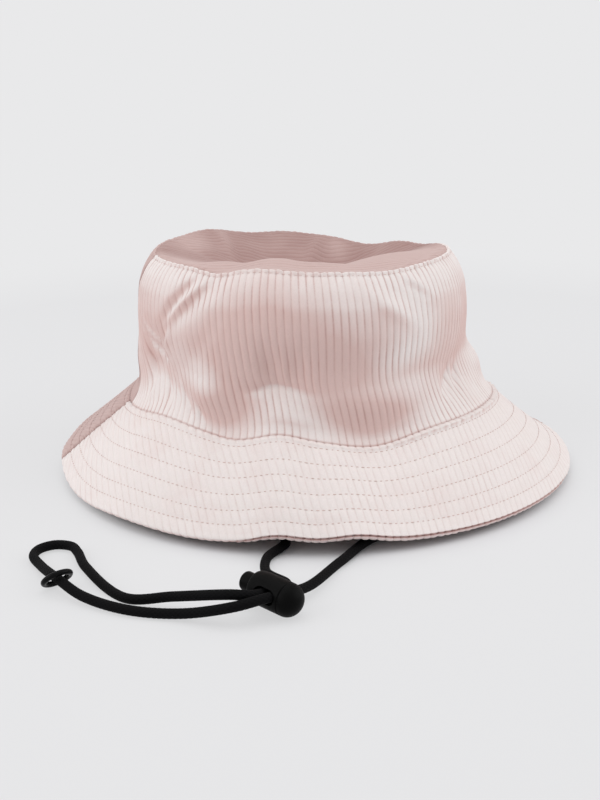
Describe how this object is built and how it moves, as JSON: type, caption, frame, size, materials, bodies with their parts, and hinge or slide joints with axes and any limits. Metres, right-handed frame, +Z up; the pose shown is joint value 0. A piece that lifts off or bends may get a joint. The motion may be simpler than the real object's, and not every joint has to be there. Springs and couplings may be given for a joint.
{
  "type": "bucket hat",
  "caption": "Soft bucket hat for a child in two colours of wide-wale corduroy, with a lined crown, a stitched sloping brim and a black chin cord with a spring toggle and a ring.",
  "frame": {"origin": "middle of the brim's outline, on the surface that the brim rests on", "axes": "+Z up through the crown, -Y towards the front of the hat, +X to the right in the picture, near the right side seam"},
  "size_m": [0.2493, 0.2872, 0.1034],
  "materials": {
    "blush_corduroy": "wide-wale corduroy with a soft nap, pale blush",
    "rose_corduroy": "wide-wale corduroy with a soft nap, dusty rose",
    "stiffener": "stiff woven interlining",
    "lining_cotton": "plain woven cotton",
    "black_tape": "woven tape",
    "black_cord": "round braid",
    "black_plastic": "moulded, matte",
    "ring_plastic": "moulded, glossy",
    "spring_wire": "drawn wire"
  },
  "bodies": {
    "hat": {"crown_top": "rose_corduroy", "crown_front": "blush_corduroy", "crown_back": "rose_corduroy", "brim_top_front": "blush_corduroy", "brim_top_back": "rose_corduroy", "brim_under_front": "blush_corduroy", "brim_under_back": "rose_corduroy", "interlining_front": "stiffener", "interlining_back": "stiffener", "lining_top": "lining_cotton", "lining_front": "lining_cotton", "lining_back": "lining_cotton", "sweatband": "lining_cotton", "cord_tab_left": "black_tape", "cord_tab_right": "black_tape", "chin_cord": "black_cord"},
    "toggle": {"toggle_body": "black_plastic", "toggle_spring": "spring_wire"},
    "button": {"toggle_button": "black_plastic"},
    "ring": {"cord_ring": "ring_plastic"}
  },
  "joints": [
    {"name": "toggle_slide", "type": "slide", "parent": "hat", "child": "toggle", "axis": [0.7377, 0.6426, -0.2071], "range_m": [-0.003, 0.0015]},
    {"name": "button_press", "type": "slide", "parent": "toggle", "child": "button", "axis": [0.6403, -0.7631, -0.0872], "range_m": [0, 0.0023], "stiffness_N_per_m": 400, "springref_m": -0.002, "deforming": ["toggle_spring"]},
    {"name": "ring_slide", "type": "slide", "parent": "hat", "child": "ring", "axis": [0.4369, -0.8995, 0], "range_m": [0, 0.004]}
  ]
}
